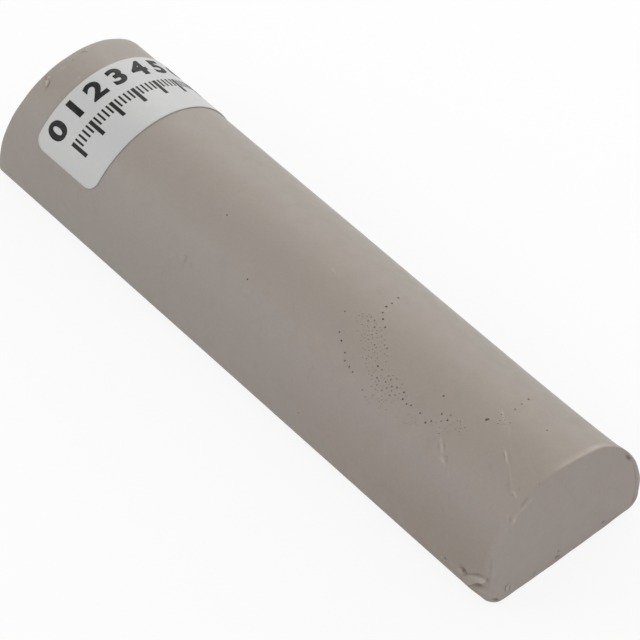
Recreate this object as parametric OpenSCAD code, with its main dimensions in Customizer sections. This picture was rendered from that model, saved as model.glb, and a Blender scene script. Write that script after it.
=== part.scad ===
// Furniture repair wax stick: a cast bar with a round back and a flat foot, and a small paper label
// bent round its back. The origin is the centre of the flat foot, X runs along the bar, and Z points
// up out of the foot.

/* [Bar] */
// Length of the bar along its flat foot
bar_l = 80; // [60:1:130]
// Width of the bar, which is twice the radius of its round back
bar_w = 20.9; // [19:0.1:30]
// Height of the round back's centre line above the flat foot
axis_h = 2.7; // [1.7:0.1:4]
// Radius of the rounded edges on both sides of the flat foot
foot_r = 1.65; // [0.6:0.05:2.6]
// Draft of both end faces in degrees, which lean in towards the ridge
end_draft = 4.9; // [0:0.1:8]
// Radius of the softened rim round the end faces
rim_r = 0.45; // [0.2:0.05:1.2]

/* [Flared end] */
// Length over which the bar opens towards its +X end
flare_l = 10.5; // [5:0.5:20]
// How much the radius of the back grows over that length
flare_h = 0.5; // [0.1:0.05:1]

/* [Label] */
// Width of the paper, measured along the bar
label_w = 9.9; // [6:0.1:18]
// Length of the paper, measured round the back
label_l = 27; // [12:0.5:29]
// Distance from the bar's -X end, at the foot, to the paper
label_inset = 5.3; // [3:0.1:25]
// Turn of the label's middle from the ridge towards +Y, in degrees
label_turn = 14.6; // [0:0.1:20]
// Radius of the paper's four corners
label_corner_r = 1.5; // [0.5:0.1:2.8]
// Thickness of the paper
paper_t = 0.1; // [0.05:0.01:0.3]
// Thickness of the adhesive film under the paper
glue_t = 0.04; // [0.02:0.01:0.1]
// How far the adhesive stays back from the paper's edges
glue_margin = 0.2; // [0.1:0.05:0.45]

/* [Colours] */
// Colour of the wax
wax_colour = "#968C85";
// Colour of the paper
paper_colour = "#D3D3D1";
// Colour of the adhesive film
glue_colour = "#DBD6C4";

/* [Hidden] */
$fn = 128;
// Overrun of shapes that are cut to size by others
over = 2;
back_r = bar_w / 2;
// Angle below level at which a rounded foot edge runs into the back, and where that edge's centre lies
meet_angle = asin((axis_h - foot_r) / (back_r - foot_r));
foot_y = (back_r - foot_r) * cos(meet_angle);
// Where the foot edge meets the back, and where the line that leaves it upwards ends
meet = [back_r * cos(meet_angle), axis_h - back_r * sin(meet_angle)];
side_top = axis_h + bar_w;
side_y = meet.x + (side_top - meet.y) * tan(meet_angle);
// The flare is a cone that goes on past the end face
flare_end_r = back_r + flare_h * (flare_l + over) / flare_l;
// A leaning face cuts the round back in an ellipse, and the rim's round starts a little outside it, by
// this share of the rim's radius, so that it meets the back at a clear angle
rim_start_share = 0.15;
rim_gain = rim_r * (tan(end_draft) + rim_start_share);
far_rim_r = back_r / cos(end_draft) + rim_gain;
near_rim_r = (back_r + flare_h) / cos(end_draft) + rim_gain;
label_x = label_inset - bar_l / 2;

// One side of the section below the back: half the foot, its rounded edge and the side that leaves it
module half_foot_outline() {
    polygon([[0, 0], [foot_y, 0], [foot_y, foot_r], meet, [side_y, side_top], [0, side_top]]);
    translate([foot_y, foot_r]) circle(r = foot_r);
}

// The flat foot with both rounded edges, run along the bar and open upwards
module foot_run() {
    rotate([90, 0, 90]) linear_extrude(height = bar_l + 2 * over, center = true) {
        half_foot_outline();
        mirror([1, 0]) half_foot_outline();
    }
}

// The round back, with the cone that opens its +X end
module back_run() {
    translate([0, 0, axis_h]) rotate([0, 90, 0]) {
        cylinder(r = back_r, h = bar_l + 2 * over, center = true);
        translate([0, 0, bar_l / 2 - flare_l]) cylinder(r1 = back_r, r2 = flare_end_r, h = flare_l + over);
    }
}

// All that lies behind the +X end face, with a soft rim of radius rim on the round back
module behind_end_face(rim) {
    translate([bar_l / 2 - axis_h * tan(end_draft), 0, axis_h])
        rotate([0, -90 - end_draft, 0])
            rotate_extrude() {
                square([rim - rim_r, rim_r]);
                translate([rim - rim_r, rim_r]) circle(r = rim_r);
                translate([0, rim_r]) square([bar_w, 2 * bar_l]);
            }
}

// A rounded rectangle bent round the back, with its middle turned from the ridge towards +Y
module wrapped_sheet(inner_r, t, w, l, corner_r) {
    // The rounds at each end share a centre line, and the plain stretch between ends short of both
    end_turn = (l / 2 - corner_r) / inner_r * 180 / PI;
    plain_turn = (l / 2 - 2 * corner_r) / inner_r * 180 / PI;
    translate([label_x + label_w / 2, 0, axis_h]) rotate([-label_turn, 0, 0]) rotate([0, -90, 0])
        intersection() {
            difference() {
                cylinder(r = inner_r + t, h = w + over, center = true);
                cylinder(r = inner_r, h = w + 2 * over, center = true);
            }
            union() {
                rotate([0, 0, -plain_turn])
                    translate([0, 0, -w / 2])
                        rotate_extrude(angle = 2 * plain_turn) square([inner_r + over, w]);
                for (end = [-1, 1])
                    rotate([0, 0, end * end_turn])
                        rotate([90, 0, 90])
                            linear_extrude(height = inner_r + over)
                                mirror([end < 0 ? 1 : 0, 0]) sheet_end_outline(w, corner_r);
            }
        }
}

// The last stretch of a flat sheet of width w, which ends at +X in two rounded corners
module sheet_end_outline(w, corner_r) {
    translate([-2 * corner_r, -w / 2]) square([2 * corner_r, w]);
    translate([0, corner_r - w / 2]) square([corner_r, w - 2 * corner_r]);
    for (side = [-1, 1])
        translate([0, side * (w / 2 - corner_r)]) circle(r = corner_r);
}

module wax_bar() {
    color(wax_colour) intersection() {
        foot_run();
        back_run();
        behind_end_face(near_rim_r);
        mirror([1, 0, 0]) behind_end_face(far_rim_r);
    }
}

module paper_label() {
    color(paper_colour) wrapped_sheet(back_r + glue_t, paper_t, label_w, label_l, label_corner_r);
}

module label_adhesive() {
    color(glue_colour)
        wrapped_sheet(
            back_r, glue_t, label_w - 2 * glue_margin, label_l - 2 * glue_margin, label_corner_r - glue_margin
        );
}

wax_bar();
paper_label();
label_adhesive();
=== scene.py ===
import math
import random

import bmesh
import bpy
import numpy as np
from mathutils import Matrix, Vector, geometry, noise


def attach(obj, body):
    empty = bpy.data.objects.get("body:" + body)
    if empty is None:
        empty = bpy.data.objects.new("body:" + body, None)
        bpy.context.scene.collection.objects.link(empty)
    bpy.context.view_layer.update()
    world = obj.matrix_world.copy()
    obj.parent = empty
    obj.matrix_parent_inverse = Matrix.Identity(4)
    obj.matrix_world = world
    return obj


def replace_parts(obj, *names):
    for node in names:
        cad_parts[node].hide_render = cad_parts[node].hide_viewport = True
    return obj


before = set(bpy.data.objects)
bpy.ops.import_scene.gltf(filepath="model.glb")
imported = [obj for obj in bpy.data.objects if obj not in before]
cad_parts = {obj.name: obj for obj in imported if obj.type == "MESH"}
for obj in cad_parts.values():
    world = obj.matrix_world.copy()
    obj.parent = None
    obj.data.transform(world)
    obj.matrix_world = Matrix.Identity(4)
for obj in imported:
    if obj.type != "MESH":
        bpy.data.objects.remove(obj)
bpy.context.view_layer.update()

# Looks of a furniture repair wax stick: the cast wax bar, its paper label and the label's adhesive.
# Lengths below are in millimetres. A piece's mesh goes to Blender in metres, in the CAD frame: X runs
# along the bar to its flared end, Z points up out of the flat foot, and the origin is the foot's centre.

MM = 0.001

# Sizes of the solids, as in the part's source
BAR_L = 80.0
BACK_R = 10.45
AXIS_H = 2.7
FOOT_R = 1.65
END_LEAN = math.tan(math.radians(4.9))
RIM_R = 0.45
LABEL_W = 9.9
LABEL_L = 27.0
LABEL_INSET = 5.3
LABEL_X = LABEL_INSET - BAR_L / 2 + LABEL_W / 2
LABEL_TURN = math.radians(14.6)
LABEL_CORNER_R = 1.5
PAPER_T = 0.1
GLUE_T = 0.04
GLUE_MARGIN = 0.2

# The visible flare opens more gently than the solid's cone, over a longer stretch
FLARE_L = 15.9
FLARE_H = 0.44
FLARE_SIDE_SHARE = 0.455

# The photograph's camera, in millimetres and pixels of its 640 x 640 frame. It clips in metres.
FRAME_PX = 640
CAMERA_AZIMUTH = math.radians(48.959)
CAMERA_ELEVATION = math.radians(48.652)
CAMERA_DISTANCE = 460.74
CAMERA_TARGET = (2.793, -0.797, 5.239)
CAMERA_FOCUS_PX = 4382.8
SENSOR_MM = 36
CAMERA_CLIP = (0.05, 20)


# Objects and camera

def add_object(name, data):
    made = bpy.data.objects.new(name, data)
    bpy.context.scene.collection.objects.link(made)
    return made


def look_along(looker, direction):
    looker.rotation_mode = "QUATERNION"
    looker.rotation_quaternion = direction.to_track_quat("-Z", "Y")


# Unit vectors to the right, upwards and back from the picture
LEVEL = math.cos(CAMERA_ELEVATION)
BACK = np.array([
    math.sin(CAMERA_AZIMUTH) * LEVEL, -math.cos(CAMERA_AZIMUTH) * LEVEL, math.sin(CAMERA_ELEVATION),
])
RIGHT = np.array([math.cos(CAMERA_AZIMUTH), math.sin(CAMERA_AZIMUTH), 0.0])
UP = np.cross(BACK, RIGHT)
EYE = np.array(CAMERA_TARGET) + BACK * CAMERA_DISTANCE


def make_camera():
    data = bpy.data.cameras.new("camera")
    data.sensor_width = SENSOR_MM
    data.lens = CAMERA_FOCUS_PX / FRAME_PX * SENSOR_MM
    data.clip_start, data.clip_end = CAMERA_CLIP
    camera = add_object("camera", data)
    camera.location = Vector(EYE * MM)
    look_along(camera, Vector(-BACK))
    bpy.context.scene.camera = camera


def to_pixels(points):
    """Where points in millimetres fall in the photograph's frame."""
    seen = points - EYE
    depth = -seen @ BACK
    across = FRAME_PX / 2 + CAMERA_FOCUS_PX * (seen @ RIGHT) / depth
    down = FRAME_PX / 2 - CAMERA_FOCUS_PX * (seen @ UP) / depth
    return np.stack([across, down], 1)


# Outline of the bar, measured round it from the middle of the foot by way of +Y

MEET = math.asin((AXIS_H - FOOT_R) / (BACK_R - FOOT_R))
FOOT_Y = (BACK_R - FOOT_R) * math.cos(MEET)
BACK_START = FOOT_Y + FOOT_R * (math.pi / 2 - MEET)
GIRTH = 2 * (BACK_START + BACK_R * (math.pi / 2 + MEET))
# The flare blends into the straight sides over a share of its height
FLARE_BLEND = 0.3
LEAST_BLEND = 1e-4
LEAST_COSINE = 0.2


def outline(around, grow):
    """Points and outward normals of the outline, whose back is wider by grow."""
    half = np.minimum(around, GIRTH - around)
    side = np.where(around <= GIRTH / 2, 1.0, -1.0)
    on_foot = half < FOOT_Y
    on_edge = ~on_foot & (half < BACK_START)
    edge_angle = (half - FOOT_Y) / FOOT_R - math.pi / 2
    back_angle = (half - BACK_START) / BACK_R - MEET
    angle = np.where(on_foot, -math.pi / 2, np.where(on_edge, edge_angle, back_angle))
    # The flare is highest at the ridge, and runs out against the straight sides
    grow = grow * (FLARE_SIDE_SHARE + (1 - FLARE_SIDE_SHARE) * np.clip(np.sin(back_angle), 0, 1))
    straight = BACK_R / np.maximum(np.cos(back_angle + MEET), LEAST_COSINE)
    reach = soft_min(BACK_R + grow, straight, FLARE_BLEND * grow + LEAST_BLEND)
    edge_y = FOOT_Y + FOOT_R * np.cos(angle)
    edge_z = FOOT_R + FOOT_R * np.sin(angle)
    y = np.where(on_foot, half, np.where(on_edge, edge_y, reach * np.cos(angle)))
    z = np.where(on_foot, 0.0, np.where(on_edge, edge_z, AXIS_H + reach * np.sin(angle)))
    return side * y, z, side * np.cos(angle), np.sin(angle)


def soft_min(a, b, width):
    share = np.clip(0.5 + 0.5 * (b - a) / width, 0, 1)
    return b * (1 - share) + a * share - width * share * (1 - share)


def bump(value, middle, width):
    return np.exp(-((value - middle) / width) ** 2)


def smooth_step(value, low, high):
    t = np.clip((value - low) / (high - low), 0, 1)
    return t * t * (3 - 2 * t)


# Surface of the bar over a flat sheet: around it, and along from -ALONG_END to ALONG_END. The last
# RIM_SPAN at both ends turns over the rim to the end face.

RIM_SPAN = 1.0
ALONG_FLAT = BAR_L / 2 - RIM_R
ALONG_END = ALONG_FLAT + RIM_SPAN

# Pairs are the middle of a swelling round the bar and its width, or where something starts and is full

# The side towards the camera leans out to the foot, most at the near end, where a knock took some off
HEEL = (47.8, 2.2)
HEEL_FAR = 0.09
HEEL_NEAR = 0.45
HEEL_LOST = 0.35
HEEL_LOST_ALONG = (37.5, 39.5)
# The far shoulder of the near end flares a little more than the rest
SHOULDER = (14.8, 3.5)
SHOULDER_OUT = 0.12
SHOULDER_ALONG = (14.0, 34.0)
# That shoulder ends in a low lip, by the rim
LIP = (20.0, 3.0)
LIP_OUT = 0.14
LIP_ALONG = (37.8, 39.3)
# The foot isn't quite flat: its far side rises towards the near end
FOOT_RISE = 0.385
FOOT_RISE_TOP = 6.0
# The near rim is sharpest beside the lip, and rounder low down, most at the knocked corner
NEAR_RIM_R = 0.36
SHARP = (20.5, 3.0)
SHARP_LOSS = 0.24
LOW_RIM_START = (30, 36)
LOW_RIM_END = (46, 50)
LOW_RIM_GAIN = 0.25
KNOCK = (47.5, 1.2)
KNOCK_GAIN = 0.6
# Waves in the rims' radius: count round the bar, shift, and further shift at the near end
RIM_WAVES = ((8, 1, 0), (16, 0, 1), (3, 0, 2))
RIM_UNEVENNESS = 0.08
# Where the near rim stands out from the leaning plane or lies back from it: place round the bar, shift
NEAR_RIM_SHIFTS = [
    (0, 0), (14, 0), (17, 0.1), (19, 0), (21.2, -0.22), (22.8, -0.28), (24.7, 0), (26.5, 0.17),
    (28.2, 0.14), (29.8, -0.03), (31.2, -0.1), (34, 0.13), (37, 0.1), (41, 0), (44, 0.05), (46.3, 0.05),
    (48, 0.03), (49.8, 0), (58, 0),
]
RIM_SHIFT_BLUR = (-0.6, -0.3, 0, 0.3, 0.6)
# How strongly a highlight is painted on the near rim, paler along its upper half: place round the bar,
# share
NEAR_RIM_HIGHLIGHT = [
    (0, 0.04), (15, 0.04), (20.5, 0.5), (22.6, 2.0), (24.7, 2.6), (26.6, 2.0), (28.3, 1.5), (29.8, 0.45),
    (32, 0.04), (58, 0.04),
]
FAR_RIM_HIGHLIGHT = 0.15
# The painted highlight's middle past the start of a rim and its width, and how uneven it is
RIM_HIGHLIGHT = (0.36, 0.36)
RIM_HIGHLIGHT_SPREAD = (0.8, 0.4)


def rim_radius(around, near):
    turns = around / GIRTH * 2 * math.pi
    wave = sum(np.sin(count * turns + shift + further * near) for count, shift, further in RIM_WAVES)
    radius = np.where(near, NEAR_RIM_R, RIM_R) + RIM_UNEVENNESS * (wave / len(RIM_WAVES) - 0.5)
    rounder = LOW_RIM_GAIN * (smooth_step(around, *LOW_RIM_START) - smooth_step(around, *LOW_RIM_END))
    rounder = rounder + KNOCK_GAIN * bump(around, *KNOCK)
    rounder = rounder - SHARP_LOSS * bump(around, *SHARP)
    return radius + np.where(near, rounder, 0.0)


def rim_shift(around, near):
    places, shifts = np.array(NEAR_RIM_SHIFTS, float).T
    soft = np.mean([np.interp(around + step, places, shifts) for step in RIM_SHIFT_BLUR], axis=0)
    return np.where(near, soft, 0.0)


def surface(around, along):
    """Points and outward normals of the smooth bar."""
    near = along > 0
    rim = rim_radius(around, near)
    turn = np.clip((np.abs(along) - ALONG_FLAT) / RIM_SPAN, 0, 1) * math.pi / 2
    left = np.clip(ALONG_FLAT - np.abs(along), 0, FLARE_L) / FLARE_L
    grow = np.where(near, FLARE_H * (1 - left) ** 2, 0.0)
    y, z, normal_y, normal_z = outline(around, grow)
    nearness = (1 + np.clip(along / ALONG_FLAT, -1, 1)) / 2
    heel = HEEL_FAR + (HEEL_NEAR - HEEL_FAR) * nearness
    heel = heel * (1 - HEEL_LOST * smooth_step(along, *HEEL_LOST_ALONG))
    y = y - heel * bump(around, *HEEL)
    shoulder = SHOULDER_OUT * bump(around, *SHOULDER) * smooth_step(along, *SHOULDER_ALONG)
    shoulder = shoulder + LIP_OUT * bump(around, *LIP) * smooth_step(along, *LIP_ALONG)
    y = y + normal_y * shoulder
    z = z + normal_z * shoulder
    rise = FOOT_RISE * np.clip(y / BACK_R, 0, 1) * np.clip(2 * nearness - 1, 0, 1)
    z = z + rise * np.clip(1 - z / FOOT_RISE_TOP, 0, 1)
    face = BAR_L / 2 + rim_shift(around, near)
    rim_start = face - z * END_LEAN - rim
    x = np.minimum(np.abs(along) / ALONG_FLAT, 1) * rim_start
    y = y - normal_y * rim * (1 - np.cos(turn))
    z = z - normal_z * rim * (1 - np.cos(turn))
    x = np.where(turn > 0, face - z * END_LEAN - rim * (1 - np.sin(turn)), x)
    end = np.where(near, 1.0, -1.0)
    points = np.stack([end * x, y, z], 1)
    normals = np.stack([end * np.sin(turn), normal_y * np.cos(turn), normal_z * np.cos(turn)], 1)
    return points, normals


# A pixel is traced to the sheet from the nearest crossing of a grid, in rounds of limited moves
TRACE_GRID = (240, 400)
TRACE_ROUNDS = 4
TRACE_STEP = 0.02
TRACE_LIMIT = 0.5
LEAST_SLOPE = 0.05


def on_bar(pixels):
    """The sheet's places of pixels of the photograph, on the side that the camera sees."""
    around = np.linspace(FOOT_Y, GIRTH - FOOT_Y, TRACE_GRID[0])
    along = np.linspace(-ALONG_END, ALONG_END, TRACE_GRID[1])
    around, along = (lines.ravel() for lines in np.meshgrid(around, along))
    points, normals = surface(around, along)
    facing = ((EYE - points) * normals).sum(1) > 0
    around, along, seen = around[facing], along[facing], to_pixels(points[facing])
    places = []
    for pixel in np.array(pixels):
        start = ((seen - pixel) ** 2).sum(1).argmin()
        places.append(refined(np.array([around[start], along[start]]), pixel))
    return np.array(places)


def refined(place, pixel):
    """A place of the flat sheet moved until it falls on the pixel."""
    for _ in range(TRACE_ROUNDS):
        tries = np.array([place, place + [TRACE_STEP, 0], place + [0, TRACE_STEP]])
        seen = to_pixels(surface(*tries.T)[0])
        slopes = np.stack([seen[1] - seen[0], seen[2] - seen[0]], 1) / TRACE_STEP
        move = np.linalg.lstsq(slopes, pixel - seen[0], rcond=LEAST_SLOPE)[0]
        place = place + np.clip(move, -TRACE_LIMIT, TRACE_LIMIT)
    return place


def on_end_face(pixels):
    """The (y, z) places of pixels of the photograph on the near end face."""
    places = []
    for across, down in (np.array(pixels) - FRAME_PX / 2) / CAMERA_FOCUS_PX:
        ray = -BACK + RIGHT * across - UP * down
        reach = (BAR_L / 2 - EYE[0] - EYE[2] * END_LEAN) / (ray[0] + ray[2] * END_LEAN)
        places.append((EYE + ray * reach)[1:])
    return np.array(places)


# Marks on the wax, placed by pixels of the photograph

# Air pores that show as single dots, their bottoms darkened with painted shade: radius, shade of the
# bottom, and pixels
PORES = [
    # Deep pores
    (0.125, 0.65, [
        (341.3, 340.4), (392.1, 303.2), (386.3, 306.5), (382.6, 312.5), (383, 318.8), (377.7, 365.9),
        (403.9, 392.3), (402.6, 399), (419.9, 412.8), (425.3, 422.5), (431.1, 420.9), (441.7, 413.8),
        (447.3, 420), (528.7, 399), (247.2, 279.1),
    ]),
    # Narrow ones
    (0.1, 0.55, [(344.8, 311.3), (344.8, 352.6), (344.8, 360.6), (352.5, 371.8)]),
    # Shallow pores
    (0.12, 0.33, [
        (339.4, 331.9), (398.4, 297.8), (374.6, 326.9), (385.1, 327.1), (376.9, 377.6), (385.4, 381.7),
        (390.7, 379.4), (391.9, 386.3), (397, 387.4), (406.5, 403.8), (411, 405.1), (349.1, 366.8),
        (226.9, 214.8), (298.1, 413.5),
    ]),
    # Faint pores
    (0.11, 0.14, [
        (372.1, 334.5), (396.5, 378.6), (450.8, 415), (521.9, 403.9), (378.7, 380.8), (391.5, 390.8),
        (388.3, 375.8), (382, 369.5), (376.7, 384.7), (381.6, 390.3), (386.7, 387.8), (395, 395),
        (389.6, 395), (384.7, 344.7), (387, 348), (374.5, 320.5), (374.5, 344.7), (368.3, 320.5),
        (368.3, 339.2), (362.3, 390), (441, 421),
    ]),
    # The faintest
    (0.12, 0.08, [(547.1, 430.2), (515.1, 409.2)]),
    # A wide shallow pore, and two that touch
    (0.155, 0.38, [(443.7, 395.7)]),
    (0.14, 0.7, [(486.6, 419.4)]),
    (0.11, 0.6, [(488.6, 418.8)]),
]
PORE_SPREAD = (0.85, 1.1)
# Clouds of the finest pores: middle, half sizes along and across, slope in degrees, count
PORE_CLOUDS = [
    ((368, 327), (15, 12), 60, 50),
    ((374, 350), (30, 13), 84, 120),
    ((387, 386), (24, 13), 40, 110),
    ((377, 401), (15, 6), 30, 22),
    ((438, 425), (13, 9), 20, 30),
    ((460, 424), (12, 8), 10, 18),
    ((406, 421), (14, 8), 20, 12),
    ((500, 420), (14, 6), 20, 7),
]
# 0.5 would spread the pores evenly, and more draws them to the middle
CLOUD_POWER = 0.6
FINE_PORE_R = (0.058, 0.08)
FINE_PORE_SHADE = 0.2
# Least distance between two pores, as a share of their radii
PORES_APART = 2.25
# Depth of the palest pore as a share of its radius, and what the darkest has more
PORE_DEPTH = (0.7, 0.5)
# Rings of a pore with a pale lip, and its middle point: share of the radius and of the depth, painted
# shade, wear
PORE_RINGS = [
    (2, 0, 0, 0), (1.45, -0.12, 0, 0.12), (1.05, 0.1, 0.15, 0), (0.75, 0.7, 0.6, 0), (0.4, 1.1, 1, 0),
    (0, 1.2, 1, 0),
]
PORE_CORNERS = 10
FINE_PORE_CORNERS = 6
PORE_WOBBLE = (0.88, 1.12)
# How many radii from a pore the lattice ends, and how much more
PORE_CLEARED = (2.3, 0.02)

# Marks on the bar: the pixels of a path, half width, height, negative for a groove, and tone, positive for
# pale rubbed wax and for painted highlight, and negative for dark dirt and for painted shade
BAR_MARKS = [
    # The long scrape below the pores
    ([(439.5, 424), (440.4, 433), (440.6, 440)], 0.07, 0.02, 0.25),
    ([(440.4, 439), (441.6, 445), (442, 450), (441.8, 454)], 0.1, 0.06, 0.8),
    ([(438.2, 443), (438.6, 450)], 0.08, -0.03, -0.16),
    ([(444.3, 441), (444.8, 450)], 0.08, -0.03, -0.16),
    ([(438.6, 455.3), (441, 455.2)], 0.09, 0.03, 0.6),
    ([(442, 456.3), (447, 456.2)], 0.06, -0.03, -0.2),
    ([(440.8, 457.5), (442.2, 460), (444, 463.8)], 0.17, 0.05, 0.75),
    ([(447, 456), (446.4, 463)], 0.09, -0.03, -0.16),
    ([(448, 470), (449.5, 479)], 0.1, 0.015, 0.2),
    # The scrape above the near rim
    ([(504.8, 449.5), (506, 456), (507.5, 463.5)], 0.1, 0.06, 0.95),
    ([(503.6, 452), (504.8, 459)], 0.06, -0.03, -0.22),
    ([(508.2, 450), (509.9, 463)], 0.06, -0.02, -0.1),
    ([(509, 466), (511.2, 480), (511.8, 488)], 0.08, 0.015, 0.22),
    ([(512.2, 491), (514.2, 493), (516.6, 497.5)], 0.11, 0.04, 0.6),
    ([(519, 486.6), (519.2, 490.8)], 0.08, -0.02, -0.18),
    ([(508.4, 479), (508.4, 486), (509, 493)], 0.12, -0.02, -0.12),
    ([(512.2, 494.8), (512.8, 496)], 0.08, -0.02, -0.2),
    # The lower half of the near rim: its pale streaks are a painted highlight in patches, and the dark
    # lines beside them painted shade. Lower down by the knocked corner, dark and pale bands run along the
    # rim line.
    ([(529.6, 496), (524.8, 501.5), (520.6, 508.6)], 0.18, -0.05, -0.22),
    ([(514, 512.6), (512.6, 515)], 0.1, -0.03, -0.14),
    ([(532.5, 497.5), (527.4, 504.5), (520.6, 512)], 0.14, 0.03, 0.4),
    ([(516.5, 516), (514.6, 521), (513.6, 527)], 0.17, 0.04, 0.5),
    ([(510.6, 517), (509.8, 523)], 0.1, -0.04, -0.25),
    ([(508, 511), (506.8, 517), (505.6, 526)], 0.12, 0.015, 0.12),
    ([(492.2, 558), (490.8, 567), (489.8, 577)], 0.2, -0.03, -0.15),
    ([(489.9, 574), (489.5, 590)], 0.2, -0.02, -0.1),
    ([(493.8, 562), (492.4, 576), (492.2, 588)], 0.1, 0.02, 0.16),
    # Softer lines higher up
    ([(501.5, 410), (503, 417), (504.6, 423)], 0.12, 0.03, 0.5),
    ([(500.2, 427), (508.8, 427), (509, 435)], 0.14, 0.015, 0.22),
    ([(331, 268), (335, 274)], 0.12, 0.03, 0.3),
    ([(386, 441), (384.6, 456)], 0.2, 0.012, 0.1),
    ([(240.5, 183.2), (247, 183.2)], 0.1, -0.015, -0.07),
    ([(249.8, 183.4), (252.8, 186)], 0.12, 0.015, 0.14),
    ([(215.2, 185.6), (215.4, 190.4)], 0.1, 0.015, 0.16),
    ([(316, 330), (320, 346)], 0.25, 0.012, 0.1),
    # Dents
    ([(181.2, 258)], 0.18, 0.03, 0.24),
    ([(185.8, 255.8), (185.6, 259.5), (184, 262.8)], 0.13, -0.04, -0.15),
    ([(190.6, 261.5), (191.2, 269.5)], 0.11, -0.03, -0.12),
    ([(524, 452)], 1.6, -0.03, 0),
    ([(539.5, 482), (539.4, 486)], 0.09, -0.03, -0.15),
    # The torn near corner: the hole and the folds round the tongue. The dark in the hole, along the
    # tongue's upper edge, beside its tip, under it, and in the chips at the corner's foot is painted
    # shadow.
    ([(462, 568), (463.6, 571), (465.6, 573.4)], 0.26, -0.38, -0.72),
    ([(466.4, 573.6), (474, 574.3), (480.5, 575.2), (485.6, 577.4)], 0.1, -0.08, -0.26),
    ([(486.9, 578.6), (487.2, 582.4)], 0.12, -0.12, -0.4),
    ([(472.6, 586), (475.6, 585.8), (479, 585.8), (483, 586.6)], 0.24, -0.24, -0.4),
    ([(475, 587.4), (480.5, 591.2), (485.5, 594)], 0.14, 0.03, 0.45),
    ([(457, 567.5), (459.4, 570.4)], 0.16, 0.05, 0.3),
    ([(450.5, 562.6), (452, 565)], 0.1, 0.03, 0.3),
    ([(444.6, 557.6), (445.6, 560)], 0.13, -0.14, -0.6),
    ([(441.8, 556.2)], 0.12, 0.04, 0.6),
    ([(492.5, 598.6), (496, 599.4), (500, 599)], 0.14, -0.08, -0.75),
    ([(494.8, 595.8), (497, 595.4)], 0.09, 0.04, 0.7),
    ([(500.6, 596.4), (504.4, 593.8), (507.5, 591.8)], 0.1, 0.03, 0.4),
    ([(490.2, 596)], 0.1, 0.03, 0.4),
    # A nick in the near rim, darkened inside with painted shade
    ([(625.2, 453.4), (626.8, 455.4)], 0.18, -0.2, -0.8),
    # A dark line along the near rim's right side: painted shade, where the rim turns away from the light
    ([(636.6, 484), (636.2, 490), (634.8, 496.4), (632.2, 501.8), (629.2, 505.4)], 0.12, -0.03, -0.45),
    # The far rim's chafing; the dark strokes beside the burrs are painted shadow
    ([(49.2, 80.6), (48.6, 84), (46.4, 88.4)], 0.12, -0.06, -0.34),
    ([(45.8, 77.4)], 0.12, -0.05, -0.36),
    ([(46.8, 73.8)], 0.12, 0.03, 0.4),
    ([(41.4, 80.6), (41.8, 86)], 0.12, 0.02, 0.22),
    ([(85.8, 50.6)], 0.2, 0.05, 0.7),
    ([(83.6, 51.6)], 0.15, -0.06, -0.3),
    ([(61.8, 69.2)], 0.16, 0.03, 0.4),
    ([(68.6, 61.2)], 0.14, 0.03, 0.4),
    ([(72.5, 60.5)], 0.1, -0.03, -0.2),
    ([(79.3, 78.2)], 0.14, 0.02, 0.4),
]
# Marks on the near end face, in the same form
END_MARKS = [
    # Chips along the bottom edge darkened with painted shade, and a pale fleck
    ([(601.8, 523.4), (604.8, 521.6)], 0.12, -0.12, -0.55),
    ([(558.9, 551.2)], 0.1, -0.12, -0.6),
    ([(554.2, 558.2), (557.4, 556.4), (560.4, 554.9)], 0.1, -0.12, -0.5),
    ([(546.6, 561.4)], 0.12, 0.04, 0.5),
    ([(531.8, 574.6), (534, 573.1), (536, 571.4)], 0.15, -0.08, -0.35),
    # A curled burr low on the left: its dark lines are painted shadow
    ([(508.6, 584.4), (505.9, 586.2), (505, 589.2), (506, 591.4)], 0.09, -0.1, -0.5),
    ([(508.8, 586.2), (507.2, 588.4), (507.6, 591)], 0.1, 0.08, 0.7),
    ([(510.6, 585.8), (509.7, 588.2), (509.6, 590.4)], 0.09, -0.1, -0.5),
    ([(512.2, 586), (511.6, 588.6)], 0.1, 0.06, 0.6),
    ([(566, 545), (560, 549)], 0.08, 0.02, 0.15),
    ([(533, 505), (552, 520)], 0.1, -0.012, 0.06),
    ([(560, 480), (585, 512)], 0.12, -0.01, -0.04),
    ([(596, 470), (604, 500)], 0.1, -0.01, 0.06),
    # Dark lines along the right side: painted shade, where the rim turns away from the light
    ([(632.4, 463), (635.4, 474), (635.4, 486), (634.4, 494)], 0.06, -0.03, -0.34),
    ([(634.4, 494), (633.4, 499), (631.2, 503.5)], 0.09, -0.04, -0.5),
    # A dark line along the bottom edge: a painted contact shadow
    ([(624, 510), (612, 518.9), (601, 527)], 0.07, -0.03, -0.3),
    # The nick at the top right, darkened with painted shade
    ([(626.4, 455.2), (628.4, 457.6), (631, 460)], 0.17, -0.14, -0.6),
]


def cloud_pixels(middle, sizes, slope, count, draw):
    """Pixels scattered over a tilted ellipse."""
    cosine, sine = math.cos(math.radians(slope)), math.sin(math.radians(slope))
    pixels = []
    for _ in range(count):
        reach = draw.random() ** CLOUD_POWER
        turn = draw.uniform(0, 2 * math.pi)
        long, wide = sizes[0] * reach * math.cos(turn), sizes[1] * reach * math.sin(turn)
        pixels.append((middle[0] + long * cosine - wide * sine, middle[1] + long * sine + wide * cosine))
    return pixels


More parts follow.
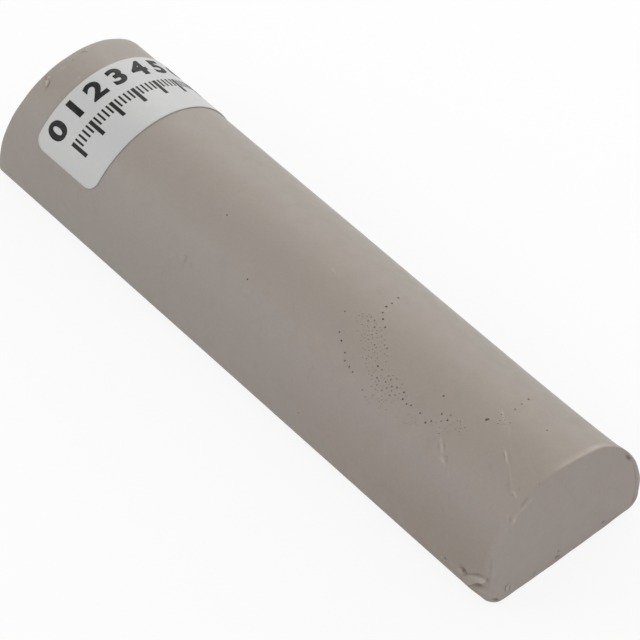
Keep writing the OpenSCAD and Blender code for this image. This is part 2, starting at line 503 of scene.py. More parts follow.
def placed_pores(draw):
    """Every pore as (around, along, radius, shade), without fine ones that touch an earlier one."""
    wanted = []
    for radius, shade, pixels in PORES:
        wanted += [(pixel, radius * draw.uniform(*PORE_SPREAD), shade) for pixel in pixels]
    single = len(wanted)
    for middle, sizes, slope, count in PORE_CLOUDS:
        for pixel in cloud_pixels(middle, sizes, slope, count, draw):
            wanted.append((pixel, draw.uniform(*FINE_PORE_R), FINE_PORE_SHADE))
    places = on_bar([pixel for pixel, _, _ in wanted])
    pores = []
    for number, (place, (_, radius, shade)) in enumerate(zip(places, wanted)):
        clear = all(math.dist(place, pore[:2]) > PORES_APART * (radius + pore[2]) for pore in pores)
        if clear or number < single:
            pores.append((place[0], place[1], radius, shade))
    return pores


def segment_distance(places, start, end):
    way = end - start
    share = np.clip((places - start) @ way / (way @ way), 0, 1)
    return np.linalg.norm(places - start - share[:, None] * way, axis=1), share


def path_distance(places, path):
    """Distance from the nearest point of a path, and that point's place on it, from 0 to 1."""
    if len(path) == 1:
        return np.linalg.norm(places - path[0], axis=1), np.full(len(places), 0.5)
    nearest = np.full(len(places), np.inf)
    along = np.zeros(len(places))
    for number, (start, end) in enumerate(zip(path, path[1:])):
        distance, share = segment_distance(places, start, end)
        closer = distance < nearest
        nearest = np.where(closer, distance, nearest)
        along = np.where(closer, (number + share) / (len(path) - 1), along)
    return nearest, along


TAPER_ENDS = (0.03, 0.97)
MARK_UNEVENNESS = 0.3


def mark_strength(places, path, width):
    """1 in the middle of a mark and 0 away from it, with tapered ends."""
    distance, share = path_distance(places, path)
    taper = np.sin(np.clip(share, *TAPER_ENDS) * math.pi) ** 0.5
    uneven = 1 + MARK_UNEVENNESS * np.sin(share * 19 + path[0][0]) * np.cos(share * 7 + path[0][1])
    return taper * uneven * bump(distance, 0, width)


def placed_marks(marks, locate):
    return [(locate(pixels), width, height, tone) for pixels, width, height, tone in marks]


def marks_effect(places, marks):
    """What the marks add at flat places: height, stain and painted shade, and wear and painted highlight.
    """
    height, stain_and_shade, wear_and_highlight = np.zeros((3, len(places)))
    for path, width, top, tone in marks:
        strength = mark_strength(places, path, width)
        height += top * strength
        stain_and_shade += max(-tone, 0) * strength
        wear_and_highlight += max(tone, 0) * strength
    return height, np.clip(stain_and_shade, 0, 1), np.clip(wear_and_highlight, 0, 1)


NOISE_SHIFT = (17.3, 5.1, 9.7)


def noise_at(points, size, seed):
    """Smooth noise from about -1 to 1 with features of the given size."""
    shift = Vector([seed * part for part in NOISE_SHIFT])
    return np.array([noise.noise(Vector(p) / size + shift) for p in points])


# Flat triangulation

def staggered(across_lines, along_lines):
    """Points where lines cross, with every second row shifted by half a step."""
    between = (across_lines[1:] + across_lines[:-1]) / 2
    between = np.concatenate([across_lines[:1], between, across_lines[-1:]])
    rows = []
    for number, along in enumerate(along_lines):
        whole = number % 2 == 0 or along == along_lines[-1]
        across = across_lines if whole else between
        rows.append(np.stack([across, np.full(len(across), along)], 1))
    return np.concatenate(rows)


def triangulate(places, border=0):
    """Triangles over flat places. The first border places, if any, are a closed edge."""
    flat = [Vector(p) for p in places]
    edges = [list(range(border))] if border else []
    made = geometry.delaunay_2d_cdt(flat, [], edges, 1 if border else 0, 1e-7)
    source = [numbers[0] for numbers in made[3]]
    return [[source[i] for i in triangle] for triangle in made[2]]


def pore_rings(pores, draw):
    """Rows of (around, along, depth, painted shade, wear) for the points that form the pores."""
    rows = []
    for around, along, radius, shade in pores:
        corners = PORE_CORNERS if radius > FINE_PORE_R[1] else FINE_PORE_CORNERS
        deep = radius * (PORE_DEPTH[0] + PORE_DEPTH[1] * shade)
        wobble = [draw.uniform(*PORE_WOBBLE) for _ in range(corners)]
        for share, depth, stain_and_shade, wear_and_highlight in PORE_RINGS:
            for corner in range(corners if share else 1):
                turn = 2 * math.pi * corner / corners
                reach = radius * share * wobble[corner]
                place = (around + reach * math.cos(turn), along + reach * math.sin(turn))
                rows.append((*place, depth * deep, stain_and_shade * shade, wear_and_highlight))
    return np.array(rows)


# Nets round the marks: reach, lattice cleared for them and step, in half widths of the mark
NET_REACH = 3
NET_CLEARED = 3.2
NET_STEP = 0.6
# The widest mark that gets a net, and how far inside the lattice's border it stays
NET_WIDEST = 1
NET_INSIDE = 1e-3
ON_BORDER = 1e-6
POINT_LENGTH = 0.01


def fine_band(start, end, width, step):
    """A fine net of places along a line."""
    way = end - start
    length = max(float(np.linalg.norm(way)), 1e-6)
    way = way / length
    aside = np.array([-way[1], way[0]])
    rows = []
    for number, share in enumerate(np.arange(-width, length + width, step)):
        shift = step / 2 if number % 2 else 0.0
        for off in np.arange(-NET_REACH * width, NET_REACH * width, step):
            rows.append(start + way * share + aside * (off + shift))
    return np.array(rows)


def clear_of_pores(places, pores):
    keep = np.ones(len(places), bool)
    for around, along, radius, _ in pores:
        least = PORE_CLEARED[0] * radius + PORE_CLEARED[1]
        keep &= ((places - (around, along)) ** 2).sum(1) > least * least
    return places[keep]


def refined_places(base, marks, limits):
    """The base lattice with a fine net round every mark, inside the lowest and highest limits."""
    for path, width, _, _ in marks:
        if width > NET_WIDEST:
            continue
        for start, end in list(zip(path, path[1:])) or [(path[0], path[0] + [POINT_LENGTH, 0])]:
            net = fine_band(start, end, width, width * NET_STEP)
            net = net[((net > limits[0] + NET_INSIDE) & (net < limits[1] - NET_INSIDE)).all(1)]
            on_border = (np.abs(base[:, None] - limits) < ON_BORDER).any((1, 2))
            distance, _ = segment_distance(base, start, end)
            base = np.concatenate([base[on_border | (distance > NET_CLEARED * width)], net])
    return base


# Mesh pieces

# In metres: how close points are joined, and how short edges are dissolved
JOINED = 2e-7
DEGENERATE = 1e-8


def new_piece(name, points, triangles, fields=None, sharp=50):
    """A smooth shaded object from points in millimetres. Points that coincide are joined."""
    mesh = bpy.data.meshes.new(name)
    mesh.from_pydata([tuple(p * MM) for p in points], [], [tuple(t) for t in triangles])
    for field, values in (fields or {}).items():
        data = mesh.attributes.new(field, "FLOAT", "POINT").data
        data.foreach_set("value", np.asarray(values, np.float32))
    shape = bmesh.new()
    shape.from_mesh(mesh)
    bmesh.ops.remove_doubles(shape, verts=shape.verts, dist=JOINED)
    bmesh.ops.dissolve_degenerate(shape, edges=shape.edges, dist=DEGENERATE)
    shape.to_mesh(mesh)
    shape.free()
    mesh.shade_smooth()
    mesh.set_sharp_from_angle(angle=math.radians(sharp))
    return add_object(name, mesh)


# The wax bar

# Lines of the lattice over half the foot, an edge of it, half the back, a rim, and the length
FOOT_LINES, EDGE_LINES, BACK_LINES, RIM_LINES, LENGTH_LINES = 14, 13, 42, 8, 143
# How far from the label the wax stops being plain, and where it is as uneven as the rest
COVER_EDGE = (0.2, 1.5)
# Height and size of the bar's swells, ripples and hollows in the foot. All is sunk a little, most by the
# near rim, so that nothing stands out past the widest place.
SWELL = (0.035, 6)
SWELL_STRETCH = (0.35, 1, 1)
RIPPLE = (0.008, 1.7)
HOLLOW = (0.03, 4)
SUNK = 0.012
NEAR_SUNK = 0.02
NEAR_SUNK_ALONG = (25, 38)
FOOT_FACING = (0.3, 0.9)
# How far past the start of a rim the relief begins to fade
FADE_START = 0.3
# The end faces: the lattice's step and distance from the rim, the reach of the rim's shifts, and the relief
END_STEP = 0.5
END_MARGIN = 0.1
END_SHIFT_REACH = 7
END_SWELL = (0.03, 5)
END_RIPPLE = (0.01, 1.1)
BAR_SEED = 7


def around_lines():
    half = np.concatenate([
        np.linspace(0, FOOT_Y, FOOT_LINES)[:-1],
        np.linspace(FOOT_Y, BACK_START, EDGE_LINES)[:-1],
        np.linspace(BACK_START, GIRTH / 2, BACK_LINES),
    ])
    return np.concatenate([half, GIRTH - half[-2::-1]])


def along_lines():
    rim = np.linspace(ALONG_FLAT, ALONG_END, RIM_LINES)[1:]
    return np.concatenate([-rim[::-1], np.linspace(-ALONG_FLAT, ALONG_FLAT, LENGTH_LINES), rim])


def label_cover(places, points):
    """1 under the label and 0 clear of it."""
    middle = GIRTH / 2 - BACK_R * LABEL_TURN
    off_around = np.abs(places[:, 0] - middle) - LABEL_L / 2
    off_along = np.abs(points[:, 0] - LABEL_X) - LABEL_W / 2
    return 1 - smooth_step(np.maximum(off_around, off_along), *COVER_EDGE)


def bar_relief(places, points, normals):
    """Height of the bar over its smooth surface, without its marks."""
    height = SWELL[0] * noise_at(points * SWELL_STRETCH, SWELL[1], seed=1)
    height += RIPPLE[0] * noise_at(points, RIPPLE[1], seed=2) - SUNK
    height -= NEAR_SUNK * smooth_step(places[:, 1], *NEAR_SUNK_ALONG)
    on_foot = smooth_step(-normals[:, 2], *FOOT_FACING)
    return height * (1 - on_foot) - HOLLOW[0] * on_foot * np.abs(noise_at(points, HOLLOW[1], seed=3))


def bar_sleeve(draw):
    """The bar's surface between its two end faces: points, triangles, stain and painted shade, and wear and
    painted highlight.
    """
    pores = placed_pores(draw)
    marks = placed_marks(BAR_MARKS, on_bar)
    limits = np.array([[0.0, -ALONG_END], [GIRTH, ALONG_END]])
    places = refined_places(staggered(around_lines(), along_lines()), marks, limits)
    places = clear_of_pores(places, pores)
    rings = pore_rings(pores, draw)
    depths, pore_shades, pore_wears = rings[:, 2:].T
    lattice = len(places)
    places = np.concatenate([places, rings[:, :2]])
    points, normals = surface(*places.T)
    marked, stain_and_shade, wear_and_highlight = marks_effect(places, marks)
    fade = 1 - smooth_step(np.abs(places[:, 1]), ALONG_FLAT + FADE_START, ALONG_END)
    height = (bar_relief(places, points, normals) + marked) * (1 - label_cover(places, points)) * fade
    height[lattice:] -= depths
    stain_and_shade[lattice:] = np.maximum(stain_and_shade[lattice:], pore_shades)
    wear_and_highlight[lattice:] = np.maximum(wear_and_highlight[lattice:], pore_wears)
    # A painted highlight along the rims
    wear_and_highlight = np.clip(wear_and_highlight + rim_highlight(places, points), 0, 1)
    return points + normals * height[:, None], triangulate(places), stain_and_shade, wear_and_highlight


def rim_highlight(places, points):
    """How strongly a rim is painted paler, as a painted highlight."""
    rim = bump(np.abs(places[:, 1]) - ALONG_FLAT, *RIM_HIGHLIGHT)
    around, shares = np.array(NEAR_RIM_HIGHLIGHT).T
    share = np.where(places[:, 1] > 0, np.interp(places[:, 0], around, shares), FAR_RIM_HIGHLIGHT)
    uneven = RIM_HIGHLIGHT_SPREAD[0] + RIM_HIGHLIGHT_SPREAD[1] * noise_at(points, 2.2, seed=21)
    return np.clip(rim * share * uneven, 0, 1)


def end_relief(points, near):
    """Height of an end face over the flat leaning one at (y, z) points, without its marks."""
    solid = np.column_stack([np.zeros(len(points)), points])
    swell = END_SWELL[0] * noise_at(solid, END_SWELL[1], seed=5 + near)
    return swell + END_RIPPLE[0] * noise_at(solid, END_RIPPLE[1], seed=7 + near) - END_SWELL[0]


def end_cap(near):
    """One end face inside its rim: points, triangles, stain and painted shade, and wear and painted
    highlight.
    """
    end = ALONG_END if near else -ALONG_END
    ring_around = around_lines()[:-1]
    ring = surface(ring_around, np.full(len(ring_around), end))[0][:, 1:]
    inside = staggered(np.arange(-BACK_R, BACK_R, END_STEP), np.arange(0, AXIS_H + BACK_R, END_STEP))
    marks = placed_marks(END_MARKS, on_end_face) if near else []
    limits = np.array([[-BACK_R, 0.0], [BACK_R, AXIS_H + BACK_R]])
    inside = refined_places(inside, marks, limits)
    inside = inside[inside_ring(inside, ring, END_MARGIN)]
    places = np.concatenate([ring, inside])
    marked, stain_and_shade, wear_and_highlight = marks_effect(places, marks)
    height = end_relief(places, near) + marked
    height[:len(ring)] = 0
    # The face follows the rim's shifts
    gaps = np.linalg.norm(places[:, None] - ring, axis=2)
    fading = 1 - smooth_step(gaps.min(1), 0, END_SHIFT_REACH)
    shift = rim_shift(ring_around, near)[gaps.argmin(1)] * fading
    x = BAR_L / 2 - places[:, 1] * END_LEAN + height + shift
    points = np.column_stack([x if near else -x, places])
    triangles = triangulate(places, len(ring))
    if not near:
        triangles = [t[::-1] for t in triangles]
    return points, triangles, stain_and_shade, wear_and_highlight


def inside_ring(places, ring, margin):
    """True for places inside a convex anticlockwise ring, by at least the margin."""
    ahead = np.roll(ring, -1, 0) - ring
    inward = np.stack([-ahead[:, 1], ahead[:, 0]], 1) / np.linalg.norm(ahead, axis=1)[:, None]
    depth = (places[:, None] - ring) * inward
    return depth.sum(2).min(1) > margin


def make_bar():
    parts = [bar_sleeve(random.Random(BAR_SEED)), end_cap(True), end_cap(False)]
    points, stain_and_shade, wear_and_highlight = (np.concatenate([part[field] for part in parts]) for field in (0, 2, 3))
    triangles, first = [], 0
    for part in parts:
        triangles += [[i + first for i in t] for t in part[1]]
        first += len(part[0])
    return new_piece("wax_body", points, triangles, {"stain_and_shade": stain_and_shade, "wear_and_highlight": wear_and_highlight})


# Flakes of wax that lie on the bar: the pixels of an outline, then the heights and the tones of its ends
# towards the far and the near end of the bar
FLAKES = {
    "smeared_tongue": ([
        (462.2, 575.8), (466.5, 574.9), (470, 575.1), (476.2, 575.8), (481.3, 577.3), (484.8, 579.6),
        (485.8, 582), (483.7, 583.8), (480.4, 583.6), (477.4, 582.6), (474.6, 583.1), (471.4, 585),
        (468.2, 585.8), (464.8, 583), (462, 579.6),
    ], (0.045, 0.09), (0.2, 1.0)),
    "smeared_root": ([
        (457, 568.4), (459, 567.4), (461.2, 569), (462.4, 572), (463.2, 574.6), (461, 574), (458.6, 571.4),
    ], (0.05, 0.1), (0.35, 0.35)),
    "far_burr": ([
        (44.8, 80.9), (47.2, 79.9), (49.2, 80.4), (48.4, 83.8), (46.6, 87.2), (45, 88.2), (45.4, 84),
    ], (0.1, 0.16), (0.85, 0.85)),
    "far_burr_tip": ([
        (46.2, 78.6), (48.2, 76.2), (51.2, 76.2), (50.6, 78.2), (48.2, 79.2),
    ], (0.08, 0.12), (0.9, 0.9)),
    "far_crumb": ([
        (84.6, 51.4), (85.2, 48.9), (87, 48.4), (88, 50.6), (87, 52.4),
    ], (0.1, 0.1), (0.6, 0.6)),
}
FLAKE_STEP = 0.09
FLAKE_MARGIN = 0.05
FLAKE_ROOT = -0.06
FLAKE_SHARP = 75
# How many of its heights a flake's rounded edge is wide, and the share of its tone there
FLAKE_ROUNDING = 1.2
FLAKE_EDGE_TONE = 0.4


def rounded_loop(places, rounds):
    for _ in range(rounds):
        ahead = np.roll(places, -1, 0)
        places = np.stack([0.75 * places + 0.25 * ahead, 0.25 * places + 0.75 * ahead], 1).reshape(-1, 2)
    return places


def inside_loop(places, loop):
    """True for places inside a closed loop."""
    inside = np.zeros(len(places), bool)
    for (ax, ay), (bx, by) in zip(loop, np.roll(loop, -1, 0)):
        crosses = (ay > places[:, 1]) != (by > places[:, 1])
        reach = ax + (places[:, 1] - ay) / (by - ay if by != ay else 1e-9) * (bx - ax)
        inside ^= crosses & (places[:, 0] < reach)
    return inside


def closed_piece(name, top, rows, under, cover, border, fields=None, sharp=50):
    """A closed piece. The points of its top and its underside begin with its border and share one cover of
    triangles, and rows of points lie between the two borders."""
    starts = [0] + [len(top) + border * number for number in range(len(rows) + 1)]
    triangles = cover + [[i + starts[-1] for i in t[::-1]] for t in cover]
    for first, second in zip(starts, starts[1:]):
        for corner in range(border):
            after = (corner + 1) % border
            triangles.append([first + corner, second + corner, second + after])
            triangles.append([first + corner, second + after, first + after])
    piece = new_piece(name, np.concatenate([top, *rows, under]), triangles, fields, sharp)
    shape = bmesh.new()
    shape.from_mesh(piece.data)
    bmesh.ops.recalc_face_normals(shape, faces=shape.faces)
    shape.to_mesh(piece.data)
    shape.free()
    return piece


def make_flake(name, pixels, heights, tones):
    """A closed pillow of wax over an outline, rooted below the bar's surface."""
    loop = rounded_loop(on_bar(pixels), 2)
    area = np.sum(loop[:, 0] * np.roll(loop[:, 1], -1) - loop[:, 1] * np.roll(loop[:, 0], -1))
    loop = loop if area > 0 else loop[::-1]
    low, high = loop.min(0), loop.max(0)
    net = staggered(np.arange(low[0], high[0], FLAKE_STEP), np.arange(low[1], high[1], FLAKE_STEP))
    net = net[inside_loop(net, loop)]
    closed = np.concatenate([loop, loop[:1]])
    net = net[path_distance(net, closed)[0] > FLAKE_MARGIN]
    places = np.concatenate([loop, net])
    depth, _ = path_distance(places, closed)
    height = np.interp(places[:, 1], [low[1], high[1]], heights)
    near_share = (places[:, 1] - low[1]) / (high[1] - low[1])
    tone = tones[0] + (tones[1] - tones[0]) * near_share ** 2
    edge = np.clip(depth / (FLAKE_ROUNDING * height), 0, 1)
    points, normals = surface(*places.T)
    fold = 1 + 0.35 * noise_at(points, 0.7, seed=41) + 0.15 * noise_at(points, 0.25, seed=42)
    top = points + normals * (height * fold * np.sqrt(1 - (1 - edge) ** 2))[:, None]
    under = points + normals * FLAKE_ROOT
    cover = triangulate(places, len(loop))
    wear_and_highlight = np.tile(tone * (FLAKE_EDGE_TONE + (1 - FLAKE_EDGE_TONE) * edge), 2)
    fields = {"stain_and_shade": np.zeros(len(wear_and_highlight)), "wear_and_highlight": wear_and_highlight}
    return closed_piece(name, top, [], under, cover, len(loop), fields, FLAKE_SHARP)


# Sheets and print that follow the round back

def bent(places, height):
    """Points at a height over the wax, from flat places (round the bar towards +Y, along it)."""
    angle = math.pi / 2 - LABEL_TURN - places[:, 0] / (BACK_R + GLUE_T)
    radius = BACK_R + height
    return np.stack([LABEL_X + places[:, 1], radius * np.cos(angle), AXIS_H + radius * np.sin(angle)], 1)


# Steps round a corner of a sheet, and points along its long sides
CORNER_STEPS = 10
SIDE_POINTS = 46
# A sheet's upper edge is rounded by this, and at most by this share of its thickness
SHEET_SOFT = 0.03
SHEET_SOFT_SHARE = 0.4
# Its top has a plain rim, and a lattice within a margin from that
SHEET_RIM = 0.25
SHEET_STEP = 0.45
SHEET_MARGIN = 0.15
PAPER_RIPPLE = 0.006
RIPPLE_SIZE = 2.5


def sheet_border(size, corner_r, inset):
    """A rounded rectangle, anticlockwise, drawn in by inset."""
    straight = size / 2 - corner_r
    border = []
    for corner, side in enumerate(((1, -1), (1, 1), (-1, 1), (-1, -1))):
        start = -math.pi / 2 + corner * math.pi / 2
        for step in range(CORNER_STEPS + 1):
            turn = start + step / CORNER_STEPS * math.pi / 2
            border.append(side * straight + (corner_r - inset) * np.array([math.cos(turn), math.sin(turn)]))
        if corner % 2 == 1:
            # The long sides bend with the back
            for share in np.linspace(0, 1, SIDE_POINTS)[1:-1]:
                border.append(np.array([straight[0] * (1 - 2 * share), size[1] / 2 - inset]) * side)
    return np.array(border)


def make_sheet(name, margin, low, high, ripple):
    """A closed sheet from height low to high over the wax, drawn in from the label's edge by margin."""
    size = np.array([LABEL_L, LABEL_W]) - 2 * margin
    soft = min(SHEET_SOFT, (high - low) * SHEET_SOFT_SHARE)
    corner_r = LABEL_CORNER_R - margin
    inner, crest, edge = (sheet_border(size, corner_r, inset) for inset in (SHEET_RIM, soft, 0))
    net = staggered(*(np.arange(-reach / 2, reach / 2, SHEET_STEP) for reach in size))
    net = net[inside_ring(net, inner, SHEET_MARGIN)]
    places = np.concatenate([inner, net])
    count = len(inner)
    cover = triangulate(places, count)
    wave = ripple * noise_at(np.column_stack([places, np.zeros(len(places))]), RIPPLE_SIZE, seed=31)
    wave[:count] *= 0.5
    rows = [bent(*row) for row in ((crest, high), (edge, high - soft), (edge, low), (crest, low))]
    return closed_piece(name, bent(places, high + wave), rows, bent(places, low), cover, count)


# Print: plain numbers with a scale of strokes under them

FIGURES = "01234567"
FIGURE_STEP = 3.0
FIGURE_START = 2.9
FIGURE_TOP = 0.65
FIGURE_H = 2.55
FIGURE_STRETCH = 1.25
FIGURE_BOLD = 0.04
FIGURE_CURVE_STEPS = 6
# Strokes of the scale: width and height, and how many there are from one figure to the next
LONG_STROKE = (0.46, 2.45)
SHORT_STROKE = (0.24, 1.35)
STROKES = 5
STROKE_TOP = 4.45
INK_T = 0.012
# The print is cut into strips, so that it bends with the label
STRIP_W = 0.3
# Corners of a square, for the strokes and the floor
SQUARE = ((-1, -1), (1, -1), (1, 1), (-1, 1))


def figure_shape(text):
    """A bold figure as a flat bmesh round the origin."""
    curve = bpy.data.curves.new("figure", "FONT")
    curve.body = text
    curve.align_x = "CENTER"
    curve.offset = FIGURE_BOLD
    curve.resolution_u = FIGURE_CURVE_STEPS
    holder = add_object("figure", curve)
    bpy.context.view_layer.update()
    mesh = bpy.data.meshes.new_from_object(holder.evaluated_get(bpy.context.evaluated_depsgraph_get()))
    bpy.data.objects.remove(holder)
    bpy.data.curves.remove(curve)
    shape = bmesh.new()
    shape.from_mesh(mesh)
    bpy.data.meshes.remove(mesh)
    across, up = ([vert.co[axis] for vert in shape.verts] for axis in (0, 1))
    scale = FIGURE_H / (max(up) - min(up))
    middle_x, middle_y = (min(across) + max(across)) / 2, (min(up) + max(up)) / 2
    for vert in shape.verts:
        vert.co.x = (vert.co.x - middle_x) * scale * FIGURE_STRETCH
        vert.co.y = (vert.co.y - middle_y) * scale
    bmesh.ops.remove_doubles(shape, verts=shape.verts, dist=1e-5)
    return shape


def stroke_shape(width, height):
    shape = bmesh.new()
    shape.faces.new([shape.verts.new((x * width / 2, y * height / 2, 0)) for x, y in SQUARE])
    return shape


def print_on_label(ink, shape, along_label, from_top):
    """Cuts a flat shape into strips, thickens it, and adds it bent to the ink mesh."""
    reach = max(abs(v.co.x) for v in shape.verts)
    for cut in np.arange(-reach, reach, STRIP_W)[1:]:
        everything = shape.verts[:] + shape.edges[:] + shape.faces[:]
        bmesh.ops.bisect_plane(shape, geom=everything, plane_co=(cut, 0, 0), plane_no=(1, 0, 0), dist=1e-6)
    base = shape.faces[:]
    raised = bmesh.ops.extrude_face_region(shape, geom=base, use_keep_orig=True)
    tops = {v for v in raised["geom"] if isinstance(v, bmesh.types.BMVert)}
    for vert in shape.verts:
        place = np.array([[along_label + vert.co.x - LABEL_L / 2, from_top - vert.co.y - LABEL_W / 2]])
        paper_top = GLUE_T + PAPER_T
        height = paper_top + INK_T if vert in tops else paper_top - INK_T
        vert.co = Vector(bent(place, height)[0] * MM)
    bmesh.ops.recalc_face_normals(shape, faces=shape.faces)
    mesh = bpy.data.meshes.new("ink")
    shape.to_mesh(mesh)
    shape.free()
    ink.from_mesh(mesh)
    bpy.data.meshes.remove(mesh)


def make_print():
    ink = bmesh.new()
    figure_middle = FIGURE_TOP + FIGURE_H / 2
    for number, figure in enumerate(FIGURES):
        print_on_label(ink, figure_shape(figure), FIGURE_START + FIGURE_STEP * number, figure_middle)
    for number in range((len(FIGURES) - 1) * STROKES + 1):
        width, height = SHORT_STROKE if number % STROKES else LONG_STROKE
        middle = FIGURE_START + FIGURE_STEP * number / STROKES
        print_on_label(ink, stroke_shape(width, height), middle, STROKE_TOP + height / 2)
    mesh = bpy.data.meshes.new("label_print")
    ink.to_mesh(mesh)
    ink.free()
    return add_object("label_print", mesh)


# Materials

def srgb(red, green, blue):
    """A colour as it reads in the picture, from 0 to 255, as linear light."""
    def linear(value):
        value /= 255
        return value / 12.92 if value <= 0.04045 else ((value + 0.055) / 1.055) ** 2.4
    return (linear(red), linear(green), linear(blue), 1)


class Material:
    def __init__(self, name):
        self.material = bpy.data.materials.new(name)
        self.material.use_nodes = True
        self.tree = self.material.node_tree
        self.shader = self.tree.nodes["Principled BSDF"]
        self.place = self.node("ShaderNodeTexCoord").outputs["Object"]

    def node(self, kind, **settings):
        made = self.tree.nodes.new(kind)
        for name, value in settings.items():
            setattr(made, name, value)
        return made

    def link(self, source, target):
        self.tree.links.new(source, target)

    def noise(self, size_mm, detail=2.0, roughness=0.5, distortion=0.0, stretch=(1, 1, 1)):
        """Noise from 0 to 1 with features of about size_mm."""
        mapping = self.node("ShaderNodeMapping")
        mapping.inputs["Scale"].default_value = stretch
        self.link(self.place, mapping.inputs["Vector"])
        made = self.node("ShaderNodeTexNoise")
        settings = {"Detail": detail, "Roughness": roughness, "Distortion": distortion}
        for name, number in {"Scale": 1 / (size_mm * MM), **settings}.items():
            made.inputs[name].default_value = number
        self.link(mapping.outputs["Vector"], made.inputs["Vector"])
        return made.outputs["Fac"]

    def spread(self, value, low, high, new_low=0.0, new_high=1.0):
        made = self.node("ShaderNodeMapRange")
        for number, limit in enumerate((low, high, new_low, new_high), 1):
            made.inputs[number].default_value = limit
        self.link(value, made.inputs[0])
        return made.outputs["Result"]

    def feed(self, value, socket):
        """Links a socket, and sets anything else."""
        if isinstance(value, bpy.types.NodeSocket):
            self.link(value, socket)
        else:
            socket.default_value = value

    def mix(self, share, first, second):
        made = self.node("ShaderNodeMix", data_type="RGBA")
        for value, number in ((share, 0), (first, 6), (second, 7)):
            self.feed(value, made.inputs[number])
        return made.outputs[2]

    def times(self, value, factor):
        made = self.node("ShaderNodeMath", operation="MULTIPLY")
        self.link(value, made.inputs[0])
        self.feed(factor, made.inputs[1])
        return made.outputs[0]

    def field(self, name):
        """A value of the mesh's points."""
        return self.node("ShaderNodeAttribute", attribute_name=name).outputs["Fac"]

    def relief(self, *layers):
        """Bump from (height socket, depth in millimetres) layers."""
        normal = None
        for height, depth in layers:
            made = self.node("ShaderNodeBump")
            made.inputs["Distance"].default_value = depth * MM
            self.link(height, made.inputs["Height"])
            if normal:
                self.link(normal, made.inputs["Normal"])
            normal = made.outputs["Normal"]
        self.link(normal, self.shader.inputs["Normal"])

    def coat(self, colour, roughness):
        self.link(colour, self.shader.inputs["Base Color"])
        self.link(roughness, self.shader.inputs["Roughness"])

    def set(self, **values):
        for name, value in values.items():
            self.shader.inputs[name.replace("_", " ")].default_value = value


def wax_material():
    m = Material("wax")
    warm, cool, far = srgb(164, 153, 142), srgb(162, 152, 146), srgb(158, 154, 147)
    back, low = srgb(160, 154, 145), srgb(156, 146, 136)
    pale, dark, shade_and_dirt = srgb(191, 181, 171), srgb(146, 137, 128), srgb(64, 50, 36)
    parts = m.node("ShaderNodeSeparateXYZ")
    m.link(m.place, parts.inputs[0])
    along, across, up = parts.outputs
    # The top is warmer than the rest and the back and the far end greyer: a painted tint of the light, over
    # the wax's own mottling.
    # The low near side is warmer and darker: painted shade, where little light comes from below.
    off_end = m.spread(along, 38.4 * MM, 39.2 * MM, 1, 0)
    top = m.times(m.spread(up, 9.5 * MM, 13.2 * MM), off_end)
    mottled = m.spread(m.noise(9, 3, 0.55, 0.8, (0.6, 1, 1)), 0.36, 0.64, 0.6, 1)
    colour = m.mix(m.times(top, mottled), cool, warm)
    colour = m.mix(m.spread(along, 15 * MM, -15 * MM, 0, 0.33), colour, far)
    colour = m.mix(m.times(m.spread(across, 2.5 * MM, 9 * MM, 0, 0.8), off_end), colour, back)
    # Painted shade on the low near side
    low_shade_share = m.times(m.spread(along, 0, 30 * MM), m.spread(across, -8.3 * MM, -10.4 * MM))
    colour = m.mix(m.times(low_shade_share, off_end), colour, low)
    colour = m.mix(m.spread(m.noise(2.6, 3, 0.6, 1.2), 0.55, 0.8, 0, 0.25), colour, dark)
    colour = m.mix(m.spread(m.noise(0.35, 2, 0.7), 0.35, 0.75, 0, 0.1), colour, pale)
    # Tiny dark specks of pigment, thinly strewn
    specks = m.node("ShaderNodeTexVoronoi", feature="F1")
    specks.inputs["Scale"].default_value = 1 / (0.55 * MM)
    m.link(m.place, specks.inputs["Vector"])
    near_speck = m.spread(specks.outputs["Distance"], 0.06, 0.11, 1, 0)
    thinly = m.spread(m.noise(0.9, 1), 0.62, 0.7)
    colour = m.mix(m.times(m.times(near_speck, thinly), 0.45), colour, dark)
    # Rubbed paler wax, and a painted highlight on the rims and on some marks
    colour = m.mix(m.field("wear_and_highlight"), colour, pale)
    # Dirt, and painted shade in the pores, the holes, the chips and the grooves beside raised wax
    colour = m.mix(m.field("stain_and_shade"), colour, shade_and_dirt)
    m.coat(colour, m.spread(m.noise(1.4, 3), 0.3, 0.7, 0.46, 0.6))
    m.relief((m.noise(1.1, 3, 0.6), 0.012), (m.noise(0.16, 2, 0.6), 0.006))
    m.set(IOR=1.44, Specular_IOR_Level=0.35)
    m.set(Subsurface_Weight=0.12, Subsurface_Radius=(0.9, 0.7, 0.5), Subsurface_Scale=0.4 * MM)
    return m.material


def paper_material():
    m = Material("label_paper")
    colour = m.mix(m.spread(m.noise(6, 2), 0.35, 0.65), srgb(205, 206, 204), srgb(200, 201, 200))
    fibres = m.noise(0.22, 3, 0.65, 0.6, (1, 0.35, 0.35))
    colour = m.mix(m.spread(fibres, 0.35, 0.8, 0, 0.18), colour, srgb(188, 188, 185))
    m.coat(colour, m.spread(m.noise(0.8, 2), 0.3, 0.7, 0.48, 0.6))
    m.relief((fibres, 0.004), (m.noise(2.2, 2), 0.01))
    m.set(IOR=1.46)
    return m.material


def ink_material():
    m = Material("label_ink")
    worn = m.spread(m.noise(2.4, 3, 0.6), 0.5, 0.8, 0, 0.5)
    colour = m.mix(worn, srgb(24, 22, 22), srgb(62, 56, 54))
    grain = m.noise(0.12, 2, 0.7)
    colour = m.mix(m.spread(grain, 0.62, 0.85, 0, 0.2), colour, srgb(90, 86, 84))
    m.coat(colour, m.spread(grain, 0.3, 0.7, 0.42, 0.58))
    m.relief((grain, 0.002))
    m.set(Specular_IOR_Level=0.2)
    return m.material


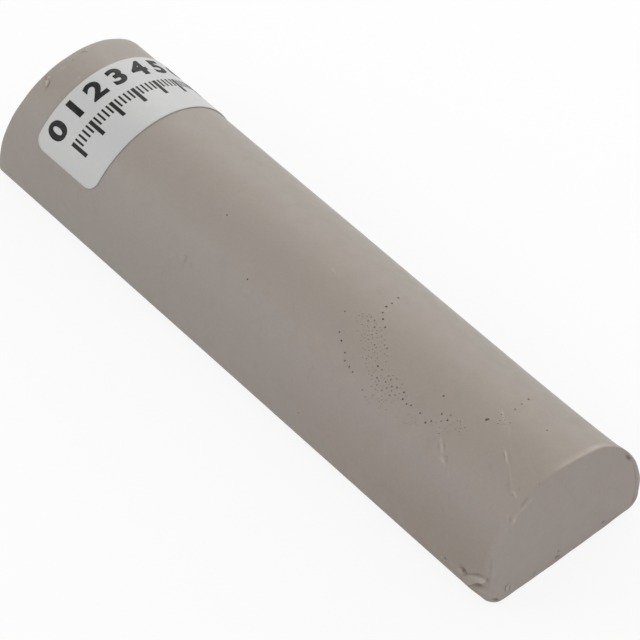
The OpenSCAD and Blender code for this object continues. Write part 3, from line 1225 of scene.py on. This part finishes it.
def glue_material():
    m = Material("label_glue")
    colour = m.mix(m.spread(m.noise(1.5, 3), 0.35, 0.65), srgb(222, 217, 200), srgb(206, 200, 182))
    m.coat(colour, m.spread(m.noise(0.6, 2), 0.3, 0.7, 0.25, 0.4))
    m.relief((m.noise(0.3, 2), 0.003))
    return m.material


WHITE = (1, 1, 1, 1)
# The share of plain white in the floor as the camera sees it. The rest takes light and shadow.
FLOOR_WHITE = 0.86
# Half the floor's side, and how far it lies below the foot, in metres
FLOOR_HALF = 6.0
FLOOR_DROP = 0.00002


def floor_material():
    """Pale, with the object's shadow on it, and near white where it is seen directly."""
    m = Material("floor")
    grain = m.mix(m.spread(m.noise(30, 2), 0.3, 0.7), (0.51, 0.51, 0.51, 1), (0.49, 0.49, 0.49, 1))
    colour = m.mix(seen_directly(m.tree), grain, WHITE)
    m.link(colour, m.shader.inputs["Base Color"])
    m.set(Roughness=0.9, Specular_IOR_Level=0.0)
    share = m.times(seen_directly(m.tree), FLOOR_WHITE)
    show_white(m.tree, share, m.shader, m.node("ShaderNodeEmission"), "Material Output")
    return m.material


def seen_directly(tree):
    """1 for what the camera, a reflection or a clear body shows."""
    path = tree.nodes.new("ShaderNodeLightPath")
    total = path.outputs["Is Camera Ray"]
    for name in ("Is Glossy Ray", "Is Transmission Ray"):
        made = tree.nodes.new("ShaderNodeMath")
        made.operation = "MAXIMUM"
        tree.links.new(total, made.inputs[0])
        tree.links.new(path.outputs[name], made.inputs[1])
        total = made.outputs[0]
    return total


def show_white(tree, share, lit, white, output):
    """Shows a share of the white shader over the lit one."""
    mixer = tree.nodes.new("ShaderNodeMixShader")
    for number, source in enumerate((share, lit.outputs[0], white.outputs[0])):
        tree.links.new(source, mixer.inputs[number])
    tree.links.new(mixer.outputs[0], tree.nodes[output].inputs["Surface"])


# Stage and light

def make_floor():
    mesh = bpy.data.meshes.new("floor")
    corners = [(x * FLOOR_HALF, y * FLOOR_HALF, 0) for x, y in SQUARE]
    mesh.from_pydata(corners, [], [(0, 1, 2, 3)])
    mesh.materials.append(floor_material())
    floor = add_object("floor", mesh)
    floor.location.z = -FLOOR_DROP


AMBIENT = 0.557


def make_world():
    """Even light on the object, and plain white where it is seen directly."""
    world = bpy.data.worlds.new("studio")
    bpy.context.scene.world = world
    world.use_nodes = True
    tree = world.node_tree
    lit, white = tree.nodes["Background"], tree.nodes.new("ShaderNodeBackground")
    for background, strength in ((lit, AMBIENT), (white, 1)):
        background.inputs["Color"].default_value = WHITE
        background.inputs["Strength"].default_value = strength
    show_white(tree, seen_directly(tree), lit, white, "World Output")


# Square lamps that face the bar: name, place and side in metres, and how light each makes a white card at
# the bar, 1 being white
LAMPS = [
    ("behind", (-0.05, 0.3, 0.1), 0.15, 0.26),
    ("behind_left", (-0.2, 0.2, 0.15), 0.15, 0.215),
    ("left", (-0.2, -0.2, 0.17), 0.15, 0.2),
    ("front", (0.73, -0.3, 0.139), 0.4, 0.305),
]


def make_lamp(name, place, side, light):
    data = bpy.data.lights.new(name, "AREA")
    data.size = side
    data.energy = light * math.pi ** 2 * Vector(place).length_squared
    lamp = add_object(name, data)
    lamp.location = place
    look_along(lamp, -lamp.location)


# The scene

make_camera()
make_floor()
make_world()
for lamp in LAMPS:
    make_lamp(*lamp)

wax = wax_material()
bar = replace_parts(make_bar(), "wax_bar")
wax_pieces = [bar] + [make_flake(name, *shape) for name, shape in FLAKES.items()]
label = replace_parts(make_sheet("label", 0, GLUE_T, GLUE_T + PAPER_T, PAPER_RIPPLE), "paper_label")
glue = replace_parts(make_sheet("adhesive", GLUE_MARGIN, 0, GLUE_T, 0), "label_adhesive")
figures = make_print()

for pieces, material, slot in (
    (wax_pieces, wax, "wax"),
    ([label], paper_material(), "label_paper"),
    ([glue], glue_material(), "label_adhesive"),
    ([figures], ink_material(), None),
):
    for piece in pieces:
        piece.data.materials.append(material)
        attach(piece, "root")

bpy.context.scene.view_settings.view_transform = "Standard"
